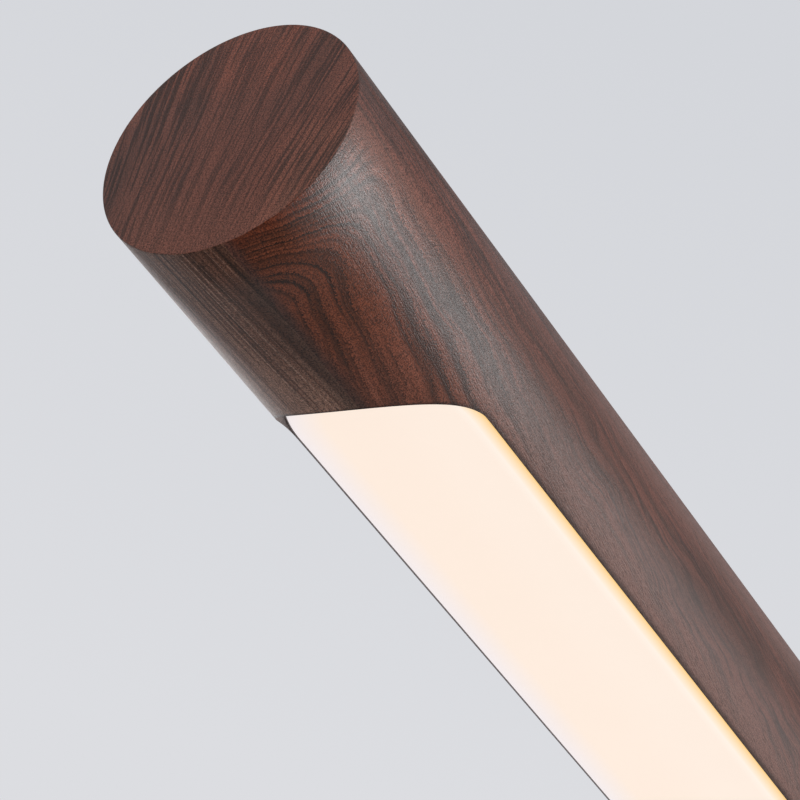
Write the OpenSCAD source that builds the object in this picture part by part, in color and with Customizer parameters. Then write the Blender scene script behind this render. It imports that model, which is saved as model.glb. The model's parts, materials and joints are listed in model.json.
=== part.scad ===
// Adjustable desk lamp: a round wooden light bar with a flat, round-ended light window,
// carried by two hinged wooden arms on a swivelling turret and a weighted round base.
// Millimetres, +Z up. The origin is the centre of the foot pad's underside.
// The arms lie in the XZ plane, and the light bar reaches towards -X with its window facing down.

/* [Light bar] */
// Diameter of the wooden light bar
bar_d = 40; // [36:1:50]
// Length of the wooden light bar
bar_len = 400; // [300:5:480]
// Depth from the bar's round underside to the flat light window
window_depth = 8.7; // [6:0.1:10]
// Distance from the bar's free end to the tip of the window
window_near_margin = 36; // [25:1:60]
// Distance from the hub to the window's other tip
window_far_margin = 34; // [28:1:60]
// Width of the thin wooden edge left around the light panel
window_rim = 0.2; // [0.15:0.05:1]
// Thickness of the opal light panel
panel_t = 3; // [2:0.5:4]
// Width of the ledge that the light panel rests on
panel_ledge = 2.4; // [1.5:0.1:3]
// Depth of the groove behind the light panel
groove_depth = 9; // [8:0.5:11]
// Edge break on the bar's ends
bar_edge = 0.2; // [0.1:0.1:1]

/* [LED board] */
// Width of the aluminium LED channel
channel_w = 22; // [18:0.5:24]
// Height of the aluminium LED channel
channel_h = 6; // [4:0.5:7]
// Sheet thickness of the LED channel
channel_wall = 1.2; // [0.8:0.1:1.5]
// Width of the LED board
led_board_w = 16; // [10:0.5:18]
// Thickness of the circuit boards
board_t = 1.6; // [1:0.1:2]
// Distance from one LED to the next
led_pitch = 12; // [8:1:20]

/* [Arms] */
// Shoulder pivot to elbow pivot
lower_len = 250; // [200:5:320]
// Elbow pivot to wrist pivot
upper_len = 210; // [170:5:280]
// Lean of the lower arm, back from upright
lower_lean = 20; // [5:1:35]
// Lean of the upper arm, forward from upright
upper_lean = 50; // [40:1:65]
// Diameter of the wooden arms
rod_d = 20; // [18:0.5:22]
// Bore in the wooden arms for the lead
rod_bore_d = 6; // [5:0.5:8]
// Diameter of the two-core lead
lead_d = 4; // [3:0.2:4.4]
// Wall of the metal ferrules
ferrule_wall = 1.9; // [1.5:0.1:3]
// How far a wooden arm sits in its ferrule
ferrule_depth = 18; // [14:1:26]
// Thickness of a ferrule's closed end
ferrule_floor = 3; // [2:0.5:5]

/* [Hinges] */
// Thickness of a hinge tongue
tongue_t = 9; // [7:0.5:10]
// Thickness of each fork ear
ear_t = 4.6; // [4:0.1:6]
// Thickness of a friction washer
washer_t = 0.8; // [0.5:0.1:1.2]
// Pivot to the end of the slot between the ears
slot_depth = 18; // [17:0.5:22]
// Pivot to the ferrule on the tongue side
tongue_len = 20; // [19:0.5:24]
// Diameter of the pivot bolts
bolt_d = 6; // [5:0.5:8]
// Diameter of the bolt heads
bolt_head_d = 15; // [12:0.5:18]
// Height of the bolt heads
bolt_head_h = 4.5; // [3.5:0.5:6]
// Diameter of the tension knobs
knob_d = 24; // [20:1:30]
// Thickness of the tension knobs
knob_t = 13; // [10:0.5:18]
// Number of finger flutes on a tension knob
knob_flutes = 12; // [8:1:16]

/* [Wrist and hub] */
// Diameter of the wrist barrel
barrel_d = 30; // [26:1:34]
// Length of the wrist barrel
barrel_len = 26; // [22:1:34]
// Diameter of the spindle that the bar rolls on
spindle_d = 14; // [12:0.5:16]
// Thickness of the metal hub on the bar's end
hub_t = 13; // [10:1:18]
// Diameter of the hub's spigot inside the bar
hub_spigot_d = 22; // [18:1:24]
// Length of the hub's spigot inside the bar
hub_spigot_len = 20; // [14:1:24]

/* [Turret] */
// Distance from the base's rear edge forward to the swivel axis
post_inset = 55; // [50:1:65]
// Diameter of the turret
turret_d = 36; // [32:1:42]
// Height of the turret's round body
turret_h = 24; // [22:1:32]
// Diameter of the swivel spigot
spigot_d = 16; // [14:0.5:18]
// Diameter of the spigot's flange
flange_d = 44; // [40:1:54]
// Thickness of the spigot's flange
flange_t = 3; // [2:0.5:5]

/* [Base] */
// Diameter of the base
base_d = 200; // [190:5:240]
// Height of the base cover
base_h = 20; // [19:0.5:24]
// Wall of the base cover
cover_wall = 2; // [1.5:0.1:2.5]
// Radius of the cover's upper edge
cover_round = 6; // [4:0.5:8]
// Thickness of the foot pad
pad_t = 2; // [1:0.5:4]
// Thickness of the bottom plate
plate_t = 2; // [1.5:0.1:3]
// Thickness of the iron weight
weight_t = 11; // [9:0.5:12]
// Distance from the base's edge in to the base screws
screw_inset = 25; // [18:1:28]
// Diameter of the base screws
screw_d = 4; // [3:0.5:4]

/* [Controls] */
// Distance from the base's front edge back to the controls
control_inset = 42; // [38:1:46]
// Distance of the button and the dimmer to either side
control_y = 22; // [19:1:24]
// Diameter of the power button
button_d = 13.6; // [11:0.2:15]
// Travel of the power button
button_travel = 1.5; // [1:0.1:1.5]
// Diameter of the dimmer knob
dimmer_d = 28; // [22:1:30]
// Height of the dimmer knob
dimmer_h = 14; // [11:0.5:20]
// Diameter of the dimmer shaft
dimmer_shaft_d = 6; // [5:0.5:6]
// Width of the power inlet's slot
inlet_w = 8.4; // [8:0.1:9]
// Height of the power inlet's slot
inlet_h = 2.7; // [2.5:0.1:3]

/* [Hidden] */
$fn = 96;

// Clearances
run = 0.05;            // radial, a shaft that turns in its hole
seat = 0.05;           // radial, a piece that is pressed or glued in
loose = 0.2;           // a screw in its clearance hole
face_gap = 0.1;        // between flat faces that turn on each other
moving_gap = 0.3;      // between a moving piece and its neighbour
over = 1;              // how far a cut runs past the face it opens
edge = 0.6;            // edge break on turned metal

// Hinge sizes
fork_gap = tongue_t + 2 * washer_t + 2 * face_gap;
fork_w = fork_gap + 2 * ear_t;
ferrule_r = rod_d / 2 + seat + ferrule_wall;
ear_r = ferrule_r;
tongue_r = ear_r - 1;
neck_w = 16;
fork_floor = 4;
fork_len = slot_depth + fork_floor;
washer_r = ear_r - 2;
knob_gap = moving_gap;
knob_grip = knob_t - 3;
hex_socket = 0.8 * bolt_d;
hex_depth = bolt_head_h - 1.5;

// Base places and levels
post_x = base_d / 2 - post_inset;
control_x = base_d / 2 - control_inset;
screw_circle_d = base_d - 2 * screw_inset;
plate_z = pad_t;
weight_z = plate_z + plate_t;
base_top = pad_t + base_h;
deck_z = base_top - cover_wall;
cover_inner_r = base_d / 2 - cover_wall;
plate_r = cover_inner_r - loose;
weight_r = plate_r - 3;
pad_r = plate_r - 2;
boss_d = 9;
boss_len = deck_z - weight_z - weight_t;
standoff_h = 4;
board_z = weight_z + standoff_h;
board_top = board_z + board_t;
screw_head_d = 2 * screw_d;

// Turret levels
flange_top = base_top + flange_t;
thrust_t = 1;
thrust_d = flange_d - 2;
turret_z = flange_top + thrust_t + face_gap;
turret_top = turret_z + turret_h;
spigot_top = turret_top - 4;
spigot_bore_d = 7;
nut_t = 8;
nut_af = 1.5 * spigot_d;
nut_room_d = nut_af / cos(30) + 8;
groove_w = 5;
turret_groove_z = turret_z + turret_h / 2;
groove_cut = 2;
set_screw_d = 4;
set_screw_sink = 0.6;

// Pivot places
shoulder_z = turret_top + fork_len;
elbow_x = post_x + lower_len * sin(lower_lean);
elbow_z = shoulder_z + lower_len * cos(lower_lean);
wrist_x = elbow_x - upper_len * sin(upper_lean);
wrist_z = elbow_z + upper_len * cos(upper_lean);

// Stations along the head, measured from the wrist pivot towards the bar's free end
barrel_end = tongue_len + barrel_len;
roll_washer_t = 0.8;
hub_start = barrel_end + roll_washer_t + face_gap;
bar_start = hub_start + hub_t;
bar_end = bar_start + bar_len;
bore_floor = tongue_len + 4;
spindle_start = bore_floor + moving_gap;
spindle_end = bar_start + hub_spigot_len;
roll_groove_z = tongue_len + barrel_len / 2;

// Light window
bar_r = bar_d / 2;
flat_x = bar_r - window_depth;
window_r = sqrt(bar_r * bar_r - flat_x * flat_x);
panel_r = window_r - window_rim;
groove_r = panel_r - panel_ledge;
window_far = bar_start + window_far_margin + window_r;
window_near = bar_end - window_near_margin - window_r;
panel_inner_x = panel_t - flat_x;
groove_top_x = panel_inner_x + groove_depth;
channel_start = window_far;
channel_end = window_near;
led_count = floor((channel_end - channel_start - led_pitch) / led_pitch);
led_w = 3.5;
led_l = 2.8;
led_h = 0.8;

// Controls
pocket_x = 40;
pocket_y = 76;
control_board_x = 34;
control_board_y = 70;
bezel_t = 1;
bezel_wall = 1.3;
bezel_bore_r = button_d / 2 + loose;
bezel_r = bezel_bore_r + bezel_wall;
bezel_flange_r = bezel_r + 1.7;
bezel_bottom = deck_z - 2;
button_proud = 2.2;
button_flange_t = 1.2;
button_flange_top = bezel_bottom - loose;
button_flange_z = button_flange_top - button_flange_t;
button_flange_r = bezel_r - 0.3;
switch_side = 12;
switch_h = 5;
switch_top = board_top + switch_h;
plunger_d = 6.4;
plunger_z = board_top + 1 + button_travel + face_gap;
pot_side = 16;
pot_h = 6;
pot_bush_d = 10;
pot_top = board_top + pot_h;
dimmer_bottom = base_top + 0.6;
dimmer_shaft_z = board_top + 2.5;
dimmer_shaft_top = dimmer_bottom + dimmer_h - 4;
inlet_wall = 0.4;
inlet_len = 10;
inlet_z = board_top + inlet_h / 2 + inlet_wall;
inlet_face_x = base_d / 2 - 0.4;
inlet_board_w = 18;
inlet_board_l = 16;
inlet_pocket_y = 28;

// Frames: each has its pivot at the origin and +Z along the arm that leaves it

module shoulder_frame() {
    translate([post_x, 0, shoulder_z]) rotate([0, lower_lean, 0]) children();
}

module elbow_frame() {
    translate([elbow_x, 0, elbow_z]) rotate([0, -upper_lean, 0]) children();
}

module wrist_frame() {
    translate([wrist_x, 0, wrist_z]) rotate([0, -90, 0]) children();
}

// The far end of an arm: the pivot of the hinge that the arm carries
module arm_end_frame(len) {
    translate([0, 0, len]) children();
}

module turret_frame() {
    translate([post_x, 0, 0]) children();
}

// Shared shapes

// Round bar along +Z from z0 to z1 with broken edges at both ends
module turned(r, z0, z1, break = edge) {
    rotate_extrude() polygon([
        [0, z0], [r - break, z0], [r, z0 + break],
        [r, z1 - break], [r - break, z1], [0, z1]
    ]);
}

module ring(r_out, r_in, z0, z1) {
    translate([0, 0, z0]) difference() {
        cylinder(r = r_out, h = z1 - z0);
        translate([0, 0, -over]) cylinder(r = r_in, h = z1 - z0 + 2 * over);
    }
}

module hexagon(across_flats, h) {
    cylinder(d = across_flats / cos(30), h = h, $fn = 6);
}

// Flat shape with straight sides and round ends, from x = a to x = b
module stadium(a, b, r) {
    translate([a, -r]) square([b - a, 2 * r]);
    translate([a, 0]) circle(r);
    translate([b, 0]) circle(r);
}

// A round-ended prism in the head's frame: along Z from station a to b, and from x0 to x1 across
module head_prism(a, b, r, x0, x1) {
    translate([x0, 0, 0]) rotate([90, 0, 90]) linear_extrude(x1 - x0)
        rotate(90) stadium(a, b, r);
}

// Fork of a hinge: pivot at the origin along Y, the arm comes from -Z
module fork() {
    difference() {
        intersection() {
            translate([0, 0, -fork_len]) cylinder(r = ear_r, h = fork_len + ear_r);
            union() {
                rotate([90, 0, 0]) cylinder(r = ear_r, h = fork_w, center = true);
                translate([-ear_r, -fork_w / 2, -fork_len]) cube([2 * ear_r, fork_w, fork_len]);
            }
        }
        translate([-ear_r - over, -fork_gap / 2, -slot_depth])
            cube([2 * (ear_r + over), fork_gap, slot_depth + ear_r + over]);
        rotate([90, 0, 0]) cylinder(d = bolt_d + 2 * seat, h = fork_w + 2 * over, center = true);
    }
}

// Tongue of a hinge: pivot at the origin along Y, the arm goes towards +Z
module tongue() {
    difference() {
        union() {
            rotate([90, 0, 0]) cylinder(r = tongue_r, h = tongue_t, center = true);
            translate([-neck_w / 2, -tongue_t / 2, 0]) cube([neck_w, tongue_t, tongue_len + edge]);
        }
        rotate([90, 0, 0]) cylinder(d = bolt_d + 2 * run, h = tongue_t + 2 * over, center = true);
    }
}

// Socket for a wooden arm, from its closed end at z = 0 up to its mouth
module ferrule(floor_t) {
    difference() {
        turned(ferrule_r, 0, floor_t + ferrule_depth);
        translate([0, 0, floor_t]) cylinder(d = rod_d + 2 * seat, h = ferrule_depth + over);
    }
}

module pivot_bolt() {
    color("dimgray") rotate([-90, 0, 0]) difference() {
        union() {
            turned(bolt_head_d / 2, fork_w / 2, fork_w / 2 + bolt_head_h);
            translate([0, 0, -fork_w / 2 - knob_gap - knob_grip + face_gap])
                cylinder(d = bolt_d, h = fork_w + knob_gap + knob_grip);
        }
        translate([0, 0, fork_w / 2 + bolt_head_h - hex_depth]) hexagon(hex_socket, hex_depth + over);
    }
}

module friction_washers() {
    color("peru") rotate([90, 0, 0]) for (side = [0, 1]) mirror([0, 0, side])
        ring(washer_r, bolt_d / 2 + seat, fork_gap / 2 - washer_t, fork_gap / 2);
}

module tension_knob() {
    flute_r = knob_d * PI / knob_flutes / 4;
    color("dimgray") rotate([90, 0, 0]) translate([0, 0, fork_w / 2 + knob_gap]) difference() {
        turned(knob_d / 2, 0, knob_t, 1.2);
        for (i = [0 : knob_flutes - 1]) rotate(i * 360 / knob_flutes)
            translate([knob_d / 2 + flute_r * 0.3, 0, -over]) cylinder(r = flute_r, h = knob_t + 2 * over, $fn = 24);
        translate([0, 0, -over]) cylinder(d = bolt_d + 2 * run, h = knob_grip + over);
    }
}

// Headless screw along +X, from radius r0 to r1, with a socket in its outer end
module set_screw(r0, r1) {
    color("dimgray") rotate([0, 90, 0]) difference() {
        translate([0, 0, r0]) cylinder(d = set_screw_d, h = r1 - r0);
        translate([0, 0, r1 - 2.5]) hexagon(set_screw_d / 2, 2.5 + over);
    }
}

// Base

module foot_pad() {
    color("#2b2a29") cylinder(r = pad_r, h = pad_t);
}

module at_base_screws() {
    for (a = [45 : 90 : 315]) rotate(a) translate([screw_circle_d / 2, 0, 0]) children();
}

module at_standoffs() {
    for (sx = [-1, 1], sy = [-1, 1])
        translate([-control_x + sx * (control_board_x / 2 - 4), sy * (control_board_y / 2 - 4), weight_z])
            children();
    for (sy = [-1, 1])
        translate([inlet_face_x - inlet_len - inlet_board_l / 2 + 3, sy * (inlet_board_w / 2 - 3.5), weight_z])
            children();
}

module base_plate() {
    color("#3a3a3c") difference() {
        union() {
            translate([0, 0, plate_z]) cylinder(r = plate_r, h = plate_t);
            at_standoffs() cylinder(d = 5, h = standoff_h);
        }
        at_base_screws() {
            translate([0, 0, plate_z - over]) cylinder(d = screw_d + 2 * loose, h = plate_t + 2 * over);
            translate([0, 0, plate_z]) cylinder(d1 = screw_head_d + 2 * loose, d2 = screw_d + 2 * loose, h = plate_t);
        }
    }
}

module base_screws() {
    color("silver") at_base_screws() {
        translate([0, 0, plate_z]) cylinder(d1 = screw_head_d, d2 = screw_d, h = plate_t);
        translate([0, 0, weight_z]) cylinder(d = screw_d, h = weight_t + boss_len - 1);
    }
}

module base_weight() {
    color("#4a4745") translate([0, 0, weight_z]) difference() {
        turned(weight_r, 0, weight_t, 1);
        translate([-control_x - pocket_x / 2, -pocket_y / 2, -over]) cube([pocket_x, pocket_y, weight_t + 2 * over]);
        translate([inlet_face_x - inlet_len - inlet_board_l / 2 - 2, -inlet_pocket_y / 2, -over])
            cube([base_d, inlet_pocket_y, weight_t + 2 * over]);
        translate([post_x, 0, -over]) cylinder(d = nut_room_d, h = weight_t + 2 * over);
        at_base_screws() translate([0, 0, -over]) cylinder(d = screw_d + 2 * loose, h = weight_t + 2 * over);
    }
}

// Outline of the cover's wall: a round-edged disc less its inside
module cover_profile() {
    r = base_d / 2;
    difference() {
        union() {
            translate([0, pad_t]) square([r, base_h - cover_round]);
            translate([0, pad_t]) square([r - cover_round, base_h]);
            translate([r - cover_round, base_top - cover_round]) circle(cover_round);
        }
        translate([0, pad_t - over]) square([cover_inner_r, base_h - cover_round + over]);
        translate([0, pad_t - over]) square([r - cover_round, base_h - cover_wall + over]);
        translate([r - cover_round, base_top - cover_round]) circle(cover_round - cover_wall);
    }
}

module base_cover() {
    color("#2e2c2b") difference() {
        union() {
            rotate_extrude() cover_profile();
            at_base_screws() translate([0, 0, deck_z - boss_len]) cylinder(d = boss_d, h = boss_len + cover_wall / 2);
        }
        at_base_screws() translate([0, 0, deck_z - boss_len - over])
            cylinder(d = screw_d + 2 * seat, h = boss_len - 0.5 + over);
        translate([post_x, 0, deck_z - over]) cylinder(d = spigot_d + 2 * seat, h = cover_wall + 2 * over);
        translate([-control_x, -control_y, deck_z - over])
            cylinder(r = bezel_r + seat, h = cover_wall + 2 * over);
        translate([-control_x, control_y, deck_z - over])
            cylinder(d = dimmer_shaft_d + 2 * moving_gap, h = cover_wall + 2 * over);
        inlet_prism(inlet_w / 2, inlet_h / 2 + inlet_wall + seat, cover_wall * 2 + over, base_d / 2 + over);
    }
}

// Controls

module control_board() {
    color("darkgreen") translate([-control_x - control_board_x / 2, -control_board_y / 2, board_z])
        cube([control_board_x, control_board_y, board_t]);
}

module button_switch() {
    color("#1c1c1e") difference() {
        translate([-control_x - switch_side / 2, -control_y - switch_side / 2, board_top])
            cube([switch_side, switch_side, switch_h]);
        translate([-control_x, -control_y, board_top + 1]) cylinder(d = plunger_d + 2 * face_gap, h = switch_h);
    }
}

module button_bezel() {
    color("dimgray") translate([-control_x, -control_y, 0]) {
        ring(bezel_flange_r, bezel_bore_r, base_top, base_top + bezel_t);
        ring(bezel_r, bezel_bore_r, bezel_bottom, base_top + bezel_t / 2);
    }
}

module power_button() {
    color("#8b8d90") translate([-control_x, -control_y, 0]) {
        turned(button_d / 2, button_flange_z + button_flange_t / 2, base_top + button_proud);
        translate([0, 0, button_flange_z]) cylinder(r = button_flange_r, h = button_flange_t);
    }
}

module button_plunger() {
    color("gainsboro") translate([-control_x, -control_y, plunger_z])
        cylinder(d = plunger_d, h = button_flange_z - plunger_z);
}

module dimmer_pot() {
    color("slategray") translate([-control_x, control_y, 0]) difference() {
        union() {
            translate([-pot_side / 2, -pot_side / 2, board_top]) cube([pot_side, pot_side, pot_h]);
            translate([0, 0, pot_top - over]) cylinder(d = pot_bush_d, h = deck_z - pot_top + over - moving_gap);
        }
        translate([0, 0, dimmer_shaft_z - face_gap]) cylinder(d = dimmer_shaft_d + 2 * run, h = base_h);
    }
}

module dimmer_shaft() {
    color("silver") translate([-control_x, control_y, dimmer_shaft_z])
        cylinder(d = dimmer_shaft_d, h = dimmer_shaft_top - dimmer_shaft_z);
}

module dimmer_knob() {
    grooves = 40;
    color("dimgray") translate([-control_x, control_y, 0]) difference() {
        turned(dimmer_d / 2, dimmer_bottom, dimmer_bottom + dimmer_h, 1.2);
        translate([0, 0, dimmer_bottom - over]) cylinder(d = dimmer_shaft_d + 2 * seat,
                                                         h = dimmer_shaft_top - dimmer_bottom + over + face_gap);
        for (i = [0 : grooves - 1]) rotate(i * 360 / grooves)
            translate([dimmer_d / 2 + 0.3, 0, dimmer_bottom + 2.5]) cylinder(r = 0.8, h = dimmer_h - 5, $fn = 16);
        translate([-dimmer_d / 2 + 2, -0.6, dimmer_bottom + dimmer_h - 0.6]) cube([7, 1.2, 0.6 + over]);
    }
}

// Power inlet in the rear of the cover

// Slot-shaped prism along X, ending at x1, with round ends of radius r and half width w
module inlet_prism(w, r, len, x1) {
    translate([x1 - len, 0, inlet_z]) rotate([90, 0, 90]) linear_extrude(len)
        stadium(-w + inlet_h / 2, w - inlet_h / 2, r);
}

module inlet_board() {
    color("darkgreen") translate([inlet_face_x - inlet_len - inlet_board_l / 2, -inlet_board_w / 2, board_z])
        cube([inlet_board_l, inlet_board_w, board_t]);
}

module inlet_shell() {
    color("silver") difference() {
        inlet_prism(inlet_w / 2, inlet_h / 2 + inlet_wall, inlet_len, inlet_face_x);
        inlet_prism(inlet_w / 2, inlet_h / 2, inlet_len + 2 * over, inlet_face_x + over);
    }
}

module inlet_tongue() {
    blade_w = inlet_w - 1.8;
    blade_t = 0.7;
    blade_len = inlet_len - 1;
    color("#1c1c1e") {
        inlet_prism(inlet_w / 2 - seat, inlet_h / 2 - seat, 2, inlet_face_x - inlet_len + 2);
        translate([inlet_face_x - inlet_len + over, -blade_w / 2, inlet_z - blade_t / 2])
            cube([blade_len - over, blade_w, blade_t]);
    }
}

// Swivel

module swivel_spigot() {
    shank_z = deck_z - nut_t - 1;
    color("dimgray") turret_frame() difference() {
        union() {
            turned(flange_d / 2, base_top, flange_top);
            translate([0, 0, shank_z]) cylinder(d = spigot_d, h = spigot_top - shank_z);
        }
        ring(spigot_d / 2 + over, spigot_d / 2 - groove_cut,
             turret_groove_z - groove_w / 2, turret_groove_z + groove_w / 2);
        translate([0, 0, shank_z - over]) cylinder(d = spigot_bore_d, h = spigot_top - shank_z + 2 * over);
    }
}

module spigot_nut() {
    color("silver") turret_frame() translate([0, 0, deck_z - nut_t]) difference() {
        hexagon(nut_af, nut_t);
        translate([0, 0, -over]) cylinder(d = spigot_d + 2 * seat, h = nut_t + 2 * over);
    }
}

module thrust_washer() {
    color("ivory") turret_frame() ring(thrust_d / 2, spigot_d / 2 + loose, flange_top, flange_top + thrust_t);
}

module turret() {
    color("#2e2c2b") turret_frame() difference() {
        union() {
            turned(turret_d / 2, turret_z, turret_top, 1.2);
            translate([0, 0, shoulder_z]) fork();
        }
        translate([0, 0, turret_z - over]) cylinder(d = spigot_d + 2 * run, h = spigot_top - turret_z + over + moving_gap);
        translate([0, 0, turret_groove_z]) rotate([0, 90, 0])
            cylinder(d = set_screw_d + 2 * seat, h = turret_d);
    }
}

module turret_set_screw() {
    turret_frame() translate([0, 0, turret_groove_z])
        set_screw(spigot_d / 2 - groove_cut + moving_gap, turret_d / 2 - set_screw_sink);
}

// Arms

// Metal end with a hinge tongue at the pivot and a socket that opens towards +Z
module arm_foot() {
    color("#2e2c2b") {
        tongue();
        translate([0, 0, tongue_len]) ferrule(ferrule_floor);
    }
}

// Metal end with a socket that opens towards -Z and a hinge fork at the pivot
module arm_head() {
    color("#2e2c2b") {
        fork();
        translate([0, 0, -slot_depth]) mirror([0, 0, 1]) intersection() {
            ferrule(fork_floor);
            translate([0, 0, fork_floor]) cylinder(r = ferrule_r + over, h = ferrule_depth + over);
        }
    }
}

// Wooden arm and its lead, for a given pivot-to-pivot length
function rod_start() = tongue_len + ferrule_floor;
function rod_end(len) = len - fork_len;

module arm_rod(len) {
    color("saddlebrown") ring(rod_d / 2, rod_bore_d / 2, rod_start(), rod_end(len));
}

module arm_lead(len) {
    color("#201d1c") translate([0, 0, rod_start()]) cylinder(d = lead_d, h = rod_end(len) - rod_start());
}

// Wrist and hub

module wrist_block() {
    color("#2e2c2b") wrist_frame() {
        tongue();
        difference() {
            turned(barrel_d / 2, tongue_len, barrel_end, 1.2);
            translate([0, 0, bore_floor]) cylinder(d = spindle_d + 2 * run, h = barrel_len);
            translate([0, 0, roll_groove_z]) rotate([0, -90, 0]) cylinder(d = set_screw_d + 2 * seat, h = barrel_d);
        }
    }
}

module roll_washer() {
    color("ivory") wrist_frame()
        ring(barrel_d / 2 - 1, spindle_d / 2 + loose, barrel_end, barrel_end + roll_washer_t);
}

module roll_set_screw() {
    wrist_frame() translate([0, 0, roll_groove_z]) rotate(180)
        set_screw(spindle_d / 2 - groove_cut + moving_gap, barrel_d / 2 - set_screw_sink);
}

module spindle() {
    color("silver") wrist_frame() difference() {
        translate([0, 0, spindle_start]) cylinder(d = spindle_d, h = spindle_end - spindle_start);
        ring(spindle_d / 2 + over, spindle_d / 2 - groove_cut,
             roll_groove_z - groove_w / 2, roll_groove_z + groove_w / 2);
        translate([0, 0, spindle_start - over]) cylinder(d = rod_bore_d, h = spindle_end - spindle_start + 2 * over);
    }
}

module bar_hub() {
    color("#2e2c2b") wrist_frame() difference() {
        union() {
            turned(bar_r, hub_start, bar_start);
            translate([0, 0, bar_start - over]) cylinder(d = hub_spigot_d, h = hub_spigot_len + over);
        }
        translate([0, 0, hub_start - over]) cylinder(d = spindle_d + 2 * seat, h = hub_t + hub_spigot_len + 2 * over);
    }
}

// Light bar

module light_bar() {
    color("saddlebrown") wrist_frame() difference() {
        turned(bar_r, bar_start, bar_end, bar_edge);
        head_prism(window_far, window_near, window_r, -bar_d, -flat_x);
        head_prism(window_far, window_near, panel_r + seat, -bar_d, panel_inner_x);
        head_prism(window_far, window_near, groove_r, -bar_d, groove_top_x);
        translate([0, 0, bar_start - over]) cylinder(d = hub_spigot_d + 2 * seat, h = hub_spigot_len + over);
        translate([0, 0, bar_start]) cylinder(d = rod_bore_d, h = window_far - bar_start);
    }
}

module light_panel() {
    color("oldlace") wrist_frame() head_prism(window_far, window_near, panel_r, -flat_x, panel_inner_x);
}

module led_channel() {
    color("lightgray") wrist_frame() difference() {
        translate([groove_top_x - channel_h, -channel_w / 2, channel_start])
            cube([channel_h, channel_w, channel_end - channel_start]);
        translate([groove_top_x - channel_h - over, -channel_w / 2 + channel_wall, channel_start - over])
            cube([channel_h + over - channel_wall, channel_w - 2 * channel_wall, channel_end - channel_start + 2 * over]);
    }
}

module led_board() {
    color("whitesmoke") wrist_frame()
        translate([groove_top_x - channel_wall - board_t, -led_board_w / 2, channel_start])
            cube([board_t, led_board_w, channel_end - channel_start]);
}

module leds() {
    first = (channel_start + channel_end - (led_count - 1) * led_pitch) / 2;
    color("khaki") wrist_frame() for (i = [0 : led_count - 1])
        translate([groove_top_x - channel_wall - board_t - led_h, -led_l / 2, first + i * led_pitch - led_w / 2])
            cube([led_h, led_l, led_w]);
}

module bar_lead() {
    color("#201d1c") wrist_frame() translate([0, 0, spindle_start])
        cylinder(d = lead_d, h = channel_start - spindle_start - moving_gap);
}

foot_pad();
base_plate();
base_screws();
base_weight();
base_cover();
control_board();
button_switch();
button_bezel();
power_button();
button_plunger();
dimmer_pot();
dimmer_shaft();
dimmer_knob();
inlet_board();
inlet_shell();
inlet_tongue();
swivel_spigot();
spigot_nut();
thrust_washer();
turret();
turret_set_screw();
shoulder_frame() pivot_bolt();  // shoulder_bolt
shoulder_frame() friction_washers();  // shoulder_washers
shoulder_frame() tension_knob();  // shoulder_knob
shoulder_frame() arm_foot();  // lower_arm_foot
shoulder_frame() arm_rod(lower_len);  // lower_arm_rod
shoulder_frame() arm_end_frame(lower_len) arm_head();  // lower_arm_head
shoulder_frame() arm_lead(lower_len);  // lower_arm_lead
elbow_frame() pivot_bolt();  // elbow_bolt
elbow_frame() friction_washers();  // elbow_washers
elbow_frame() tension_knob();  // elbow_knob
elbow_frame() arm_foot();  // upper_arm_foot
elbow_frame() arm_rod(upper_len);  // upper_arm_rod
elbow_frame() arm_end_frame(upper_len) arm_head();  // upper_arm_head
elbow_frame() arm_lead(upper_len);  // upper_arm_lead
wrist_frame() pivot_bolt();  // wrist_bolt
wrist_frame() friction_washers();  // wrist_washers
wrist_frame() tension_knob();  // wrist_knob
wrist_block();
roll_washer();
roll_set_screw();
spindle();
bar_hub();
light_bar();
light_panel();
led_channel();
led_board();
leds();
bar_lead();
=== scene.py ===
import json
import math

import bmesh
import bpy
from mathutils import Matrix, Vector

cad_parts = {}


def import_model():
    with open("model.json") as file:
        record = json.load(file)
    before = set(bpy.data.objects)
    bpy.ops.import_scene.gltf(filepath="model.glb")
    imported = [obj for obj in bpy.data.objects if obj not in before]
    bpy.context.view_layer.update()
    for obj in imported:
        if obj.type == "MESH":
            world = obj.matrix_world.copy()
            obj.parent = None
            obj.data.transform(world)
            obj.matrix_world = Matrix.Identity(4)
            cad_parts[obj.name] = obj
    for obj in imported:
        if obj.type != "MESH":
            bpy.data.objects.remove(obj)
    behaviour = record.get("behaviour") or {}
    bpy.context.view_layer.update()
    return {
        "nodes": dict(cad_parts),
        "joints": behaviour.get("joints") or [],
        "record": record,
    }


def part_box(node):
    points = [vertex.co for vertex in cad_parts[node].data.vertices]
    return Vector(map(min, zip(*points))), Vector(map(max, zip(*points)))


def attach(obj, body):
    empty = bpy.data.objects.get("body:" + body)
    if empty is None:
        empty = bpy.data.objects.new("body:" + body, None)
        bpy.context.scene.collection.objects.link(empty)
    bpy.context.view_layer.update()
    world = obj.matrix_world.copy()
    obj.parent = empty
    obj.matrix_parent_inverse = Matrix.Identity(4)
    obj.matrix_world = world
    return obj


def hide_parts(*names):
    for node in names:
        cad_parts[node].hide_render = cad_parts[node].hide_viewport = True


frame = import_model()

NODES = frame["nodes"]

# Sizes that the source also holds, in metres
BAR_R = 0.020
WINDOW_DEPTH = 0.0087
NEAR_MARGIN = 0.036
FAR_MARGIN = 0.034
RIM = 0.0002
PANEL_T = 0.003
LEDGE = 0.0024
GROOVE_DEPTH = 0.009
SEAT = 0.00005
BAR_EDGE = 0.0002
HUB_SPIGOT_R = 0.011
HUB_SPIGOT_LEN = 0.020

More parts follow.
